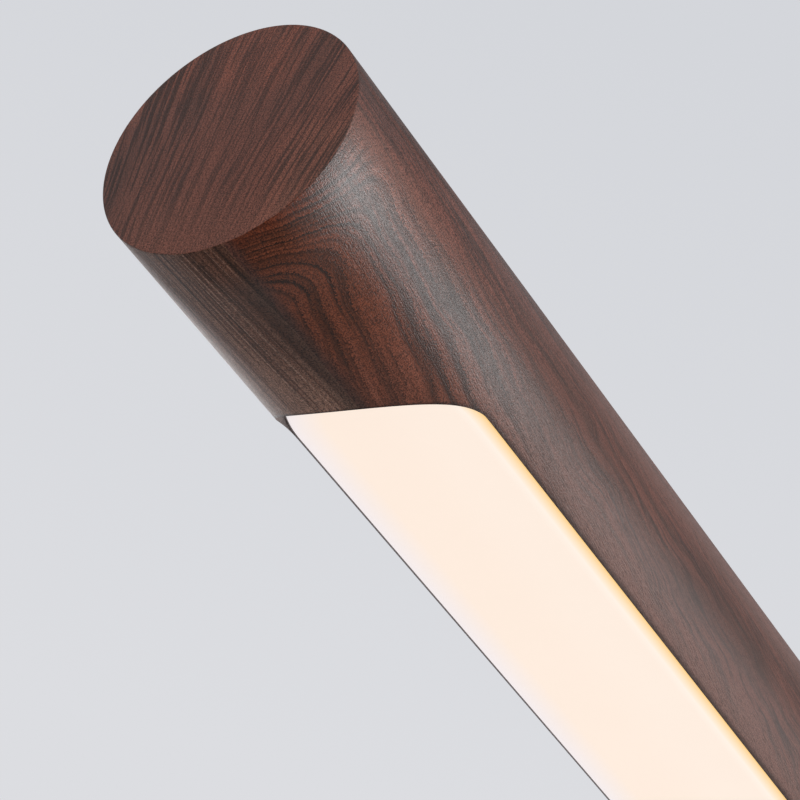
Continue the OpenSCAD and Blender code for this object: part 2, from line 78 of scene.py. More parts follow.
# Each arm's lean from upright as it stands, and the joint at its foot
ARM_LEAN = {"lower_arm_rod": math.radians(20), "upper_arm_rod": math.radians(-50)}
ARM_PIVOT = {"lower_arm_rod": "shoulder_tilt", "upper_arm_rod": "elbow_fold"}

bar_low, bar_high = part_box("light_bar")
NEAR_X = bar_low[0]
FAR_X = bar_high[0]
BAR_Z = (bar_low[2] + bar_high[2]) / 2
FLAT = BAR_R - WINDOW_DEPTH
WINDOW_R = math.sqrt(BAR_R ** 2 - FLAT ** 2)
PANEL_R = WINDOW_R - RIM
GROOVE_R = PANEL_R - LEDGE
WINDOW_NEAR = NEAR_X + NEAR_MARGIN + WINDOW_R
WINDOW_FAR = FAR_X - FAR_MARGIN - WINDOW_R
WINDOW_MIDDLE = (WINDOW_NEAR + WINDOW_FAR) / 2
WINDOW_HALF = (WINDOW_FAR - WINDOW_NEAR) / 2

# Pivots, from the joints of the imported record
PIVOT = {j["name"]: Vector(j["pos_m"]) for j in frame["joints"] if j.get("pos_m")}

FULL_TURN = 2 * math.pi
QUARTER_TURN = math.pi / 2

# Range in which most of a noise lies
NOISE_LOW = 0.3
NOISE_HIGH = 0.7


def rgba(value):
    """A colour of three numbers gets its alpha; anything else stays as it is."""
    if isinstance(value, tuple) and len(value) == 3:
        return (*value, 1)
    return value


def rgb(r, g, b):
    """Linear colour from display values of 0 to 255."""
    def lin(v):
        v /= 255
        return v / 12.92 if v <= 0.04045 else ((v + 0.055) / 1.055) ** 2.4
    return (lin(r), lin(g), lin(b))


class Net:
    """Builds one material's nodes."""

    def __init__(self, name):
        self.mat = bpy.data.materials.new(name)
        self.mat.use_nodes = True
        self.tree = self.mat.node_tree
        self.tree.nodes.clear()
        out = self.node("ShaderNodeOutputMaterial")
        self.bsdf = self.node("ShaderNodeBsdfPrincipled")
        self.tree.links.new(self.bsdf.outputs[0], out.inputs["Surface"])
        self.coords = self.node("ShaderNodeTexCoord").outputs["Object"]

    def node(self, kind, **props):
        n = self.tree.nodes.new(kind)
        for key, value in props.items():
            setattr(n, key, value)
        return n

    def put(self, socket, value):
        if isinstance(value, bpy.types.NodeSocket):
            self.tree.links.new(value, socket)
        else:
            socket.default_value = value

    def shader(self, **values):
        for key, value in values.items():
            self.put(self.bsdf.inputs[key.replace("_", " ")], rgba(value))

    def math(self, op, a, b=None, c=None):
        n = self.node("ShaderNodeMath", operation=op)
        for socket, value in zip(n.inputs, (a, b, c)):
            if value is not None:
                self.put(socket, value)
        return n.outputs[0]

    def times(self, *factors):
        """Product of all the factors."""
        product = factors[0]
        for factor in factors[1:]:
            product = self.math("MULTIPLY", product, factor)
        return product

    def plus(self, base, value, share):
        """The base and a share of the value."""
        return self.math("MULTIPLY_ADD", value, share, base)

    def split(self, vector):
        n = self.node("ShaderNodeSeparateXYZ")
        self.put(n.inputs[0], vector)
        return n.outputs

    def join(self, x, y, z):
        n = self.node("ShaderNodeCombineXYZ")
        for socket, value in zip(n.inputs, (x, y, z)):
            self.put(socket, value)
        return n.outputs[0]

    def local(self, place, turn, unit):
        """Object coordinates in a frame at place, turned by the Euler angles, in multiples of unit."""
        n = self.node("ShaderNodeMapping", vector_type="TEXTURE")
        self.put(n.inputs["Vector"], self.coords)
        self.put(n.inputs["Location"], tuple(place))
        self.put(n.inputs["Rotation"], turn)
        self.put(n.inputs["Scale"], (unit, unit, unit))
        return n.outputs[0]

    def noise(self, vector, scale, detail, rough, warp=0.0):
        n = self.node("ShaderNodeTexNoise", noise_dimensions="3D")
        self.put(n.inputs["Vector"], vector)
        self.put(n.inputs["Scale"], scale)
        self.put(n.inputs["Detail"], detail)
        self.put(n.inputs["Roughness"], rough)
        self.put(n.inputs["Distortion"], warp)
        return n.outputs[0]

    def span(self, value, low, high, to_low=0.0, to_high=1.0, smooth=False):
        n = self.node("ShaderNodeMapRange")
        if smooth:
            n.interpolation_type = "SMOOTHSTEP"
        for socket, v in zip(n.inputs, (value, low, high, to_low, to_high)):
            self.put(socket, v)
        return n.outputs[0]

    def ease(self, value, low, high, to_low, to_high):
        """Smooth change from to_low, where the value is low, to to_high."""
        return self.span(value, low, high, to_low, to_high, True)

    def grow(self, value, low, high, most=1.0):
        """Smooth rise from 0, where the value is low, to most."""
        return self.ease(value, low, high, 0.0, most)

    def fade(self, value, low, high, most=1.0):
        """Smooth fall from most, where the value is low, to 0."""
        return self.ease(value, low, high, most, 0.0)

    def ramp(self, value, stops):
        n = self.node("ShaderNodeValToRGB")
        self.put(n.inputs[0], value)
        e = n.color_ramp.elements
        while len(e) < len(stops):
            e.new(0.5)
        for item, (pos, colour) in zip(e, stops):
            item.position = pos
            item.color = rgba(colour)
        return n.outputs[0]

    def tones(self, noise, dark, light):
        """Colour that goes from dark to light with a noise."""
        return self.ramp(noise, [(NOISE_LOW, dark), (NOISE_HIGH, light)])

    def vary(self, noise, low, high):
        """Value that goes from low to high with a noise."""
        return self.span(noise, NOISE_LOW, NOISE_HIGH, low, high)

    def mix(self, factor, a, b, blend="MIX"):
        n = self.node("ShaderNodeMix", data_type="RGBA", blend_type=blend)
        self.put(n.inputs[0], factor)
        self.put(n.inputs[6], rgba(a))
        self.put(n.inputs[7], rgba(b))
        return n.outputs[2]

    def bump(self, height, strength, distance, normal=None):
        n = self.node("ShaderNodeBump")
        self.put(n.inputs["Height"], height)
        self.put(n.inputs["Strength"], strength)
        self.put(n.inputs["Distance"], distance)
        if normal is not None:
            self.put(n.inputs["Normal"], normal)
        self.put(self.bsdf.inputs["Normal"], n.outputs[0])

    def soft_edge(self, radius):
        """Normal that is rounded over the edges, and how far it is turned there, from 0 to 1."""
        n = self.node("ShaderNodeBevel", samples=6)
        self.put(n.inputs["Radius"], radius)
        dot = self.node("ShaderNodeVectorMath", operation="DOT_PRODUCT")
        self.put(dot.inputs[0], n.outputs[0])
        self.put(dot.inputs[1], self.node("ShaderNodeNewGeometry").outputs["Normal"])
        return n.outputs[0], self.span(dot.outputs["Value"], 0.78, 0.99, 1.0, 0.0)

    def window_reach(self, x, y):
        """Distance from the middle line of the round-ended window."""
        past = self.math("ABSOLUTE", self.math("SUBTRACT", x, WINDOW_MIDDLE))
        past = self.math("MAXIMUM", self.math("SUBTRACT", past, WINDOW_HALF), 0.0)
        return self.math("SQRT", self.plus(self.times(y, y), past, past))


# Wood of the light bar

SEAM_ANGLE = math.radians(17)
SPECK_SCALE = 4200.0
RIM_LINE = 0.0006
BAR_RELIEF = 0.00018

# Strength of the lacquer's reflection, and its share at the shallowest angle
GLOSS_NEAR = 0.31
GLOSS_MIDDLE = 0.172
GLOSS_FAR = 0.115
GLOSS_END = 0.22
GLOSS_SHEEN = 0.40
EDGE_SHARE = 0.1

# Tones that the noise of each zone runs through
WALL_STREAKS = [(0.34, (0.040, 0.0225, 0.017)), (0.45, (0.098, 0.039, 0.027)),
                (0.54, (0.150, 0.052, 0.036)), (0.70, (0.186, 0.065, 0.044))]
FLAME_NEAR = [(0.40, (0.022, 0.010, 0.006)), (0.47, (0.082, 0.024, 0.011)),
              (0.54, (0.142, 0.038, 0.017)), (0.70, (0.186, 0.052, 0.026))]
FLAME_FAR = [(0.38, (0.042, 0.019, 0.013)), (0.46, (0.100, 0.035, 0.021)),
             (0.54, (0.180, 0.056, 0.032)), (0.70, (0.225, 0.076, 0.046))]
STRAIGHT_LINES = [(0.36, (0.036, 0.016, 0.009)), (0.46, (0.094, 0.038, 0.022)),
                  (0.56, (0.175, 0.075, 0.047)), (0.70, (0.290, 0.150, 0.102))]
END_LINES = [(0.36, (0.136, 0.052, 0.035)), (0.50, (0.220, 0.074, 0.048)), (0.66, (0.255, 0.088, 0.057))]

# Single tones of the round side
BROAD_SHADOW = (0.072, 0.036, 0.027)
FAR_WALL = (0.150, 0.076, 0.061)
BROKEN_LINE = (0.034, 0.021, 0.017)
SPARSE_LINE = (0.040, 0.027, 0.024)
PALE_WALL = (0.330, 0.150, 0.112)
# Painted shade for the upper -Y flank near the free end
PAINTED_SHADE_UPPER = (0.040, 0.021, 0.016)
# Painted light for the upper -Y flank towards the hub
LIT_WALL = (0.230, 0.130, 0.108)
# Painted light for the lower -Y flank beside the window
PAINTED_LIGHT_BESIDE_WINDOW = (0.270, 0.155, 0.130)
# Painted shade for a patch of the -Y flank further along the bar
SHADE_SHARE = (0.72, 0.79, 0.81)
RED_EDGE = (0.150, 0.030, 0.010)
PALE_HAIR = (0.400, 0.240, 0.175)
DEEP_WOOD = (0.060, 0.021, 0.011)
ABOVE_FLAME = (0.030, 0.020, 0.017)
JOINT_LINE = (0.040, 0.021, 0.015)
PORE = (0.034, 0.020, 0.015)
# Painted line along the window's edge: grey tones for the lit far wall, near black for shadow
PAINTED_RIM_CORNER = (0.075, 0.068, 0.070)
PAINTED_RIM_LIGHT = (0.240, 0.225, 0.225)
PAINTED_RIM_SHADOW = (0.012, 0.006, 0.004)

# Single tones of the end
END_HAIR = (0.042, 0.018, 0.012)
END_LEFT = (0.040, 0.022, 0.016)
END_LOW = (0.285, 0.104, 0.068)
END_TOP_SHARE = (1.26, 1.15, 1.08)
# Painted highlight on the end, beside the side's highlight
END_PAINTED_HIGHLIGHT = (1.28, 1.34, 1.32)


class BarNet(Net):
    """The bar's own coordinates, and the noises that its zones share.

    u runs from the free end along the bar, w across it and h up, all in bar radii. v is the angle past the
    joint line, from 0 to a full turn, and past_seam is the same angle within half a turn to either side.
    """

    def __init__(self, name):
        super().__init__(name)
        self.x, self.y, z = self.split(self.coords)
        self.u = self.math("DIVIDE", self.math("SUBTRACT", self.x, NEAR_X), BAR_R)
        self.w = self.math("DIVIDE", self.y, -BAR_R)
        self.h = self.math("DIVIDE", self.math("SUBTRACT", z, BAR_Z), BAR_R)
        around = self.math("ARCTAN2", self.w, self.math("MULTIPLY", self.h, -1.0))
        self.v = self.math("WRAP", self.math("SUBTRACT", around, SEAM_ANGLE), FULL_TURN, 0.0)
        self.past_seam = self.math("WRAP", self.v, math.pi, -math.pi)
        self.rise = self.plus(self.v, self.u, 0.13)
        self.speck = self.noise(self.coords, scale=SPECK_SCALE, detail=1, rough=0.7)
        self.wave = self.grain(self.v, along=0.9, across=1.7, shift=5.0, detail=2, rough=0.5)
        self.pores = self.grain(self.rise, along=11.0, across=105.0, shift=1.0, detail=2, rough=0.5)

    def grain(self, level, along, across, shift, detail, rough, warp=0.0):
        """Noise with this many units to a bar radius along the bar, and to a radian of level."""
        place = self.join(self.times(self.u, along), self.times(level, across), shift)
        return self.noise(place, scale=1.0, detail=detail, rough=rough, warp=warp)


def bar_wall(net):
    """Long soft streaks that climb a little towards the hub, and fine broken lines that climb more. Over them
    lies painted shade, on the upper -Y flank near the free end and on a patch further along, and painted
    light, on the upper -Y flank towards the hub and beside the window.
    """
    u, v = net.u, net.v
    drift = net.plus(net.rise, net.wave, 0.25)
    streak = net.grain(drift, along=0.50, across=13.0, shift=0.0, detail=5, rough=0.62, warp=0.25)
    broad = net.grain(drift, along=0.22, across=2.6, shift=8.0, detail=3, rough=0.55)
    wall = net.ramp(streak, WALL_STREAKS)
    wall = net.mix(net.grow(broad, 0.50, 0.68, 0.5), wall, BROAD_SHADOW)
    wall = net.mix(net.grow(u, 1.2, 3.0, 0.40), wall, FAR_WALL)
    slant = net.plus(net.plus(v, u, 0.21), net.wave, 0.36)
    broken = net.grain(slant, along=1.0, across=42.0, shift=11.0, detail=3, rough=0.6, warp=0.3)
    wall = net.mix(net.grow(broken, 0.52, 0.63, 0.55), wall, BROKEN_LINE)
    sparse = net.grain(slant, along=0.42, across=17.0, shift=17.0, detail=3, rough=0.62, warp=0.2)
    wall = net.mix(net.grow(sparse, 0.55, 0.65, 0.60), wall, SPARSE_LINE)
    pale = net.times(net.fade(u, 0.3, 2.8, 0.45), net.grow(v, 0.9, 1.15), net.fade(v, 1.25, 1.5))
    wall = net.mix(pale, wall, PALE_WALL)
    upper = net.grow(v, 1.4, 1.75)
    # Painted shade: the upper -Y flank near the free end is darkened
    wall = net.mix(net.times(net.fade(u, 0.3, 1.6, 0.5), upper), wall, PAINTED_SHADE_UPPER)
    # Painted light: the upper -Y flank towards the hub is lightened
    wall = net.mix(net.times(net.grow(u, 2.5, 4.5, 0.4), upper), wall, LIT_WALL)
    # Painted light: the strip of the -Y flank beside the window is lightened
    beside = net.times(net.grow(u, 1.7, 2.6, 0.6), net.fade(v, 0.70, 1.0))
    wall = net.mix(beside, wall, PAINTED_LIGHT_BESIDE_WINDOW)
    # Painted shade: a patch of the -Y flank further along the bar is darkened
    shade = net.times(net.grow(u, 4.8, 6.0), net.fade(u, 6.6, 7.2),
                      net.grow(v, 0.95, 1.15), net.fade(v, 1.30, 1.50))
    return net.mix(shade, wall, SHADE_SHARE, "MULTIPLY")


def bar_flame(net):
    """Nested lines that run along the bar and turn round it close to the free end, and their own noise."""
    u, v = net.u, net.v
    run = net.plus(v, u, 0.20)
    turn = net.plus(net.plus(1.25, v, 0.6), u, -2.2)
    level = net.math("SMOOTH_MAX", run, turn, 0.8)
    level = net.plus(level, net.wave, 0.26)
    level = net.plus(level, net.pores, 0.04)
    level = net.plus(level, net.speck, 0.07)
    figure = net.grain(level, along=0.40, across=14.0, shift=7.9, detail=4, rough=0.62, warp=0.15)
    flame = net.ramp(figure, FLAME_NEAR)
    flame = net.mix(net.fade(u, 0.0, 0.16, 0.6), flame, RED_EDGE)
    flame = net.mix(net.grow(u, 0.9, 1.9), flame, net.ramp(figure, FLAME_FAR))
    return flame, figure


def bar_straight(net):
    """Soft dark lines and a few pale hairlines that fall a little towards the hub."""
    u = net.u
    fall = net.plus(net.v, u, -0.09)
    hairs = net.grain(fall, along=0.55, across=30.0, shift=6.0, detail=4, rough=0.62)
    hairs = net.math("ADD", net.grow(u, 0.3, 1.9, 0.18), hairs)
    straight = net.ramp(hairs, STRAIGHT_LINES)
    pale_hair = net.grain(fall, along=0.35, across=58.0, shift=21.0, detail=2, rough=0.5)
    straight = net.mix(net.grow(pale_hair, 0.60, 0.67, 0.75), straight, PALE_HAIR)
    deep = net.times(net.grow(net.past_seam, -0.45, -0.10, 0.5), net.grow(u, 0.25, 0.55),
                     net.fade(u, 1.1, 1.7))
    return net.mix(deep, straight, DEEP_WOOD)


def bar_side(net):
    """The round side: its three zones, the joint, the pores and a painted line where the wood meets the
    window, near black for painted shadow on the -Y side and grey for a painted lit wall edge on the +Y side.
    """
    u, v = net.u, net.v
    flame, figure = bar_flame(net)
    straight_zone = net.grow(v, FULL_TURN - 1.5, FULL_TURN - 0.9)
    side = net.mix(straight_zone, bar_wall(net), bar_straight(net))
    near_end = net.fade(u, 1.7, 4.5)
    flame_zone = net.times(net.fade(v, 0.50, 0.92), near_end, net.grow(v, 0.0, 0.10))
    side = net.mix(flame_zone, side, flame)
    above = net.times(net.grow(v, 0.45, 0.75), net.fade(v, 1.0, 1.35), near_end,
                      net.fade(figure, 0.42, 0.54, 0.75))
    side = net.mix(above, side, ABOVE_FLAME)
    from_seam = net.math("ABSOLUTE", net.math("ADD", net.past_seam, 0.03))
    joint = net.times(net.fade(from_seam, 0.0, 0.15, 0.7), net.ease(u, 0.1, 0.6, 0.2, 1.0))
    side = net.mix(joint, side, JOINT_LINE)
    side = net.mix(net.span(net.pores, 0.54, 0.72, 0.0, 0.6), side, PORE)
    # Painted shadow and painted light along the window's edge: near black on the -Y side, grey for the lit
    # far wall on the +Y side
    rim = net.fade(net.window_reach(net.x, net.y), WINDOW_R, WINDOW_R + RIM_LINE, 0.75)
    rim = net.times(rim, net.math("LESS_THAN", net.h, 0.0))
    painted_far_rim = net.mix(net.grow(u, 2.3, 2.9), PAINTED_RIM_CORNER, PAINTED_RIM_LIGHT)
    return net.mix(rim, side, net.mix(net.grow(net.w, -0.6, -0.1), painted_far_rim, PAINTED_RIM_SHADOW))


def bar_end(net):
    """Close parallel lines, almost upright, leaning more to one side, lifted on the lower right by a painted
    highlight, and the noise of the finest of them.
    """
    w, h = net.w, net.h
    lean = net.plus(0.12, w, 0.20)
    across = net.math("SUBTRACT", w, net.times(lean, h))
    sway = net.noise(net.join(w, h, 0.3), scale=1.2, detail=2, rough=0.5)
    across = net.plus(across, sway, 0.08)
    place = net.join(net.times(across, 6.0), net.times(h, 0.5), 2.0)
    lines = net.noise(place, scale=1.0, detail=3, rough=0.6)
    hair_place = net.join(net.times(across, 34.0), h, 7.0)
    hair = net.noise(hair_place, scale=1.0, detail=3, rough=0.62)
    outer = net.ease(net.math("ABSOLUTE", w), 0.15, 0.85, 0.75, 1.0)
    end = net.ramp(lines, END_LINES)
    end = net.mix(net.times(net.grow(hair, 0.48, 0.56, 0.85), outer), end, END_HAIR)
    left = net.times(net.fade(w, -1.0, -0.3, 0.38), net.fade(h, -0.2, 0.4))
    end = net.mix(left, end, END_LEFT)
    low = net.times(net.fade(h, -0.9, -0.3, 0.45), net.grow(w, -0.75, -0.35))
    end = net.mix(low, end, END_LOW)
    top = net.times(net.grow(h, 0.25, 0.60), net.fade(w, 0.25, 0.60))
    end = net.mix(top, end, END_TOP_SHARE, "MULTIPLY")
    # Painted highlight: the end's lower right is lightened where the side's highlight meets its edge
    right = net.times(net.grow(w, 0.40, 0.75), net.fade(h, -0.15, 0.15))
    end = net.mix(right, end, END_PAINTED_HIGHLIGHT, "MULTIPLY")
    return end, hair


def bar_gloss(net, at_end):
    """Strength of the lacquer's reflection.

    It is weaker far along the bar, at shallow angles and beside the joint at the free end, and stronger on
    the side of the straight grain, away from the joint.
    """
    u, past_seam = net.u, net.past_seam
    off_end = net.span(at_end, 0.0, 1.0, 1.0, 0.0)
    far_gloss = net.ease(u, 1.9, 3.4, GLOSS_MIDDLE, GLOSS_FAR)
    gloss = net.span(at_end, 0.0, 1.0, net.ease(u, 0.05, 1.1, GLOSS_NEAR, far_gloss), GLOSS_END)
    edge_on = net.node("ShaderNodeLayerWeight").outputs["Facing"]
    edge_limit = net.ease(u, 0.4, 2.8, 0.74, 1.0)
    gloss = net.times(gloss, net.span(edge_on, 0.40, edge_limit, 1.0, EDGE_SHARE))
    calm = net.times(net.grow(past_seam, -0.50, -0.25), net.fade(past_seam, 0.32, 0.55),
                     net.fade(u, 0.20, 0.60, 0.7), off_end)
    gloss = net.times(gloss, net.math("SUBTRACT", 1.0, calm))
    sheen = net.times(net.fade(past_seam, -0.85, -0.45), net.grow(u, 0.3, 1.6, 0.9), off_end,
                      net.grow(past_seam, -2.2, -1.4))
    return net.span(sheen, 0.0, 1.0, gloss, GLOSS_SHEEN)


def bar_wood():
    """Lacquered dark wood for the light bar: straight grain on one side of a joint, a flame on the other."""
    net = BarNet("walnut_bar")
    u = net.u
    normal = net.node("ShaderNodeNewGeometry").outputs["Normal"]
    at_end = net.grow(net.math("ABSOLUTE", net.split(normal)[0]), 0.6, 0.8)
    end, hair = bar_end(net)
    colour = net.mix(at_end, bar_side(net), end)
    fleck_dark = net.ease(u, 1.6, 4.0, 0.70, 0.46)
    fleck_pale = net.ease(u, 1.6, 4.0, 0.0, 0.20)
    colour = net.mix(net.span(net.speck, 0.36, 0.62, fleck_dark, fleck_pale), colour, (0.0, 0.0, 0.0))
    fine = net.mix(at_end, net.pores, hair)
    rough_low = net.ease(u, 1.6, 3.5, 0.34, 0.36)
    rough_high = net.ease(u, 1.6, 3.5, 0.42, 0.44)
    net.shader(Base_Color=colour, Specular_IOR_Level=bar_gloss(net, at_end),
               Roughness=net.vary(fine, rough_low, rough_high))
    relief = net.plus(net.times(fine, 0.35), net.speck, net.ease(u, 1.6, 4.0, 0.5, 0.4))
    net.bump(relief, strength=0.55, distance=BAR_RELIEF)
    return net.mat


# Wood of the arms

ROD_UNIT = 0.010
ROD_RELIEF = 0.00006
ROD_STREAKS = [(0.28, rgb(58, 43, 39)), (0.46, rgb(90, 58, 50)),
               (0.6, rgb(106, 67, 57)), (0.78, rgb(117, 76, 64))]
ROD_BAND = rgb(48, 32, 27)
ROD_PORE = rgb(36, 26, 23)


def rod_wood(name, place, lean):
    """The same kind of wood for an arm, in the arm's own frame."""
    net = Net(name)
    a, b, u = net.split(net.local(place, (0, lean, 0), ROD_UNIT))

    def grain(along, across, shift, detail, rough, warp=0.0):
        spot = net.join(net.plus(shift, u, along), net.times(a, across), net.times(b, across))
        return net.noise(spot, scale=1.0, detail=detail, rough=rough, warp=warp)

    sway = grain(along=0.12, across=0.5, shift=0.0, detail=2, rough=0.5)
    ring = net.plus(net.plus(b, u, 0.03), sway, 1.8)
    ring = net.plus(ring, grain(along=0.5, across=9.0, shift=0.0, detail=3, rough=0.6), 0.35)
    band = net.math("PINGPONG", net.times(ring, 2.6), 0.5)
    band = net.math("POWER", net.times(band, 2.0), 2.2)
    streak = grain(along=0.25, across=3.6, shift=4.0, detail=5, rough=0.62, warp=0.5)
    fine = grain(along=0.5, across=17.0, shift=9.0, detail=3, rough=0.6)
    pores = grain(along=3.0, across=38.0, shift=0.0, detail=2, rough=0.5)
    colour = net.ramp(streak, ROD_STREAKS)
    colour = net.mix(net.times(band, 0.75), colour, ROD_BAND)
    colour = net.mix(net.span(pores, 0.58, 0.75, 0.0, 0.5), colour, ROD_PORE)
    net.shader(Base_Color=colour, Roughness=net.vary(fine, 0.36, 0.46), Specular_IOR_Level=0.5)
    net.bump(fine, strength=0.25, distance=ROD_RELIEF)
    return net.mat


# Other materials

# Tint of a metal's reflection at a shallow angle
DULL_EDGE = (0.45, 0.45, 0.45)
WORN_EDGE = 0.0005
PAINT_EDGE = 0.0006
FINE_RELIEF = 0.00003
CAST_RELIEF = 0.00012
PAINT_RELIEF = 0.00009
PAINT_TONES = ((0.034, 0.032, 0.0305), (0.044, 0.0415, 0.0395))
PAINT_WORN = (0.10, 0.096, 0.092)
POINTER_PAINT = ((0.66, 0.65, 0.63), (0.76, 0.75, 0.73))

# Box of pale paint in the dimmer's groove: inset from the rim, half its width, and depths below the top
POINTER_INSET = 0.0019
POINTER_HALF = 0.0011
POINTER_DEEP = 0.0009
POINTER_SHALLOW = 0.0003


def metal(name, dark, light, rough, metallic, speck=2600.0, relief=FINE_RELIEF, wear=0.35, pointer=None):
    """Metal with a fine even grain, rubbed brighter on its edges; pointer is a box with pale paint in it."""
    net = Net(name)
    cloud = net.noise(net.coords, scale=9.0, detail=2, rough=0.5)
    grit = net.noise(net.coords, scale=speck, detail=2, rough=0.6)
    mixed = net.plus(net.times(cloud, 0.35), grit, 0.65)
    normal, turned = net.soft_edge(WORN_EDGE)
    rub = net.span(net.noise(net.coords, scale=140.0, detail=3, rough=0.6), 0.35, 0.65, 0.3 * wear, wear)
    worn = tuple(min(1.0, 2.2 * c + 0.05) for c in light)
    colour = net.mix(net.times(turned, rub), net.tones(mixed, dark, light), worn)
    if pointer is not None:
        inside = 1.0
        for axis, low, high in zip(net.split(net.coords), *pointer):
            inside = net.times(inside, net.math("GREATER_THAN", axis, low), net.math("LESS_THAN", axis, high))
        colour = net.mix(inside, colour, net.tones(grit, *POINTER_PAINT))
        metallic = net.span(inside, 0.0, 1.0, metallic, 0.0)
    net.shader(Base_Color=colour, Metallic=metallic, Specular_Tint=DULL_EDGE,
               Roughness=net.vary(mixed, rough - 0.03, rough + 0.04))
    net.bump(grit, strength=0.3, distance=relief, normal=normal)
    return net.mat


def plastic(name, dark, light, rough):
    """Plastic, rubber or board, slightly cloudy and gritty."""
    net = Net(name)
    cloud = net.noise(net.coords, scale=40.0, detail=3, rough=0.55)
    grit = net.noise(net.coords, scale=300.0, detail=3, rough=0.6)
    mixed = net.plus(net.times(cloud, 0.4), grit, 0.6)
    net.shader(Base_Color=net.tones(mixed, dark, light),
               Roughness=net.vary(grit, rough - 0.05, rough + 0.05))
    net.bump(grit, strength=0.3, distance=FINE_RELIEF)
    return net.mat


def powder_coat():
    """Fine-textured dark paint, a little paler along the edges."""
    net = Net("powder_coat")
    grit = net.noise(net.coords, scale=1500.0, detail=2, rough=0.5)
    cloud = net.noise(net.coords, scale=18.0, detail=3, rough=0.5)
    normal, turned = net.soft_edge(PAINT_EDGE)
    colour = net.tones(cloud, *PAINT_TONES)
    colour = net.mix(net.times(turned, 0.3), colour, PAINT_WORN)
    net.shader(Base_Color=colour, Roughness=net.vary(cloud, 0.55, 0.62), Specular_IOR_Level=0.35)
    net.bump(grit, strength=0.42, distance=PAINT_RELIEF, normal=normal)
    return net.mat


# Glow from the panel's edge inwards, on its warm side and on its cool side
WARM_DEPTH = 0.0040
WARM_GLOW = [(0.0, (0.90, 0.54, 0.15)), (0.3, (0.90, 0.67, 0.41)),
             (0.62, (0.895, 0.785, 0.68)), (1.0, (0.885, 0.745, 0.635))]
COOL_DEPTH = 0.0060
COOL_GLOW = [(0.0, (0.80, 0.74, 0.75)), (1.0, (0.885, 0.735, 0.62))]
WARM_Y = -0.008
COOL_Y = 0.004
GLOW_UNEVEN = 0.0002
GLOW_STRENGTH = 0.98
OPAL = (0.16, 0.15, 0.14)


def lit_panel():
    """Opal panel, lit from behind: even warm white, deeper and more orange along one edge."""
    net = Net("opal_lit")
    x, y, _ = net.split(net.coords)
    cloud = net.noise(net.coords, scale=60.0, detail=2, rough=0.5)
    inside = net.math("SUBTRACT", PANEL_R, net.window_reach(x, y))
    inside = net.plus(inside, cloud, GLOW_UNEVEN)
    warm = net.ramp(net.span(inside, 0.0, WARM_DEPTH), WARM_GLOW)
    cool = net.ramp(net.span(inside, 0.0, COOL_DEPTH), COOL_GLOW)
    glow = net.mix(net.grow(y, WARM_Y, COOL_Y), warm, cool)
    net.shader(Base_Color=OPAL, Roughness=net.vary(cloud, 0.42, 0.5),
               Emission_Color=glow, Emission_Strength=GLOW_STRENGTH)
    return net.mat


# Meshes of the light bar and its panel

ROUND_STEPS = 192
ARC_STEPS = 36
STRAIGHT_STEPS = 24
MARGIN_STEPS = 8
EDGE_STEPS = 3
PANEL_EDGE = 0.0002
SHARP_ANGLE = math.radians(30)
SAME_POINT = 2e-7
SLIVER = 1e-7


def mesh_object(name, bm, material, body):
    """Object made from bm that rides on a body, with its slot."""
    bmesh.ops.remove_doubles(bm, verts=bm.verts, dist=SAME_POINT)
    bmesh.ops.dissolve_degenerate(bm, edges=bm.edges, dist=SLIVER)
    bmesh.ops.recalc_face_normals(bm, faces=bm.faces)
    mesh = bpy.data.meshes.new(name)
    bm.to_mesh(mesh)
    bm.free()
    for p in mesh.polygons:
        p.use_smooth = True
    mesh.set_sharp_from_angle(angle=SHARP_ANGLE)
    mesh.materials.append(material)
    obj = bpy.data.objects.new(name, mesh)
    bpy.context.scene.collection.objects.link(obj)
    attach(obj, body)
    return obj


def row(bm, points):
    return [bm.verts.new(p) for p in points]


def strip(bm, a, b, closed=False):
    """Faces between two rows of the same length."""
    n = len(a)
    for i in range(n if closed else n - 1):
        j = (i + 1) % n
        bm.faces.new((a[i], a[j], b[j], b[i]))


def ring_points(x, r, gap=0.0):
    """Points round the bar from below, with a gap of this angle to either side of the lowest point."""
    turns = (gap + (FULL_TURN - 2 * gap) * i / ROUND_STEPS for i in range(ROUND_STEPS + 1))
    return [(x, -r * math.sin(t), BAR_Z - r * math.cos(t)) for t in turns]


def outline(r, level=None):
    """Round-ended outline of radius r, from the near tip by the -Y side, level or on the bar's surface."""
    side = []
    for i in range(ARC_STEPS + 1):
        t = QUARTER_TURN * i / ARC_STEPS
        side.append((WINDOW_NEAR - r * math.cos(t), r * math.sin(t)))
    for i in range(1, STRAIGHT_STEPS):
        side.append((WINDOW_NEAR + (WINDOW_FAR - WINDOW_NEAR) * i / STRAIGHT_STEPS, r))
    for i in range(ARC_STEPS + 1):
        t = QUARTER_TURN * (1 - i / ARC_STEPS)
        side.append((WINDOW_FAR + r * math.cos(t), r * math.sin(t)))
    loop = [(x, -w) for x, w in side] + [(x, w) for x, w in reversed(side[1:-1])]
    if level is None:
        return [(x, y, BAR_Z - math.sqrt(BAR_R ** 2 - y * y)) for x, y in loop]
    return [(x, y, level) for x, y in loop]


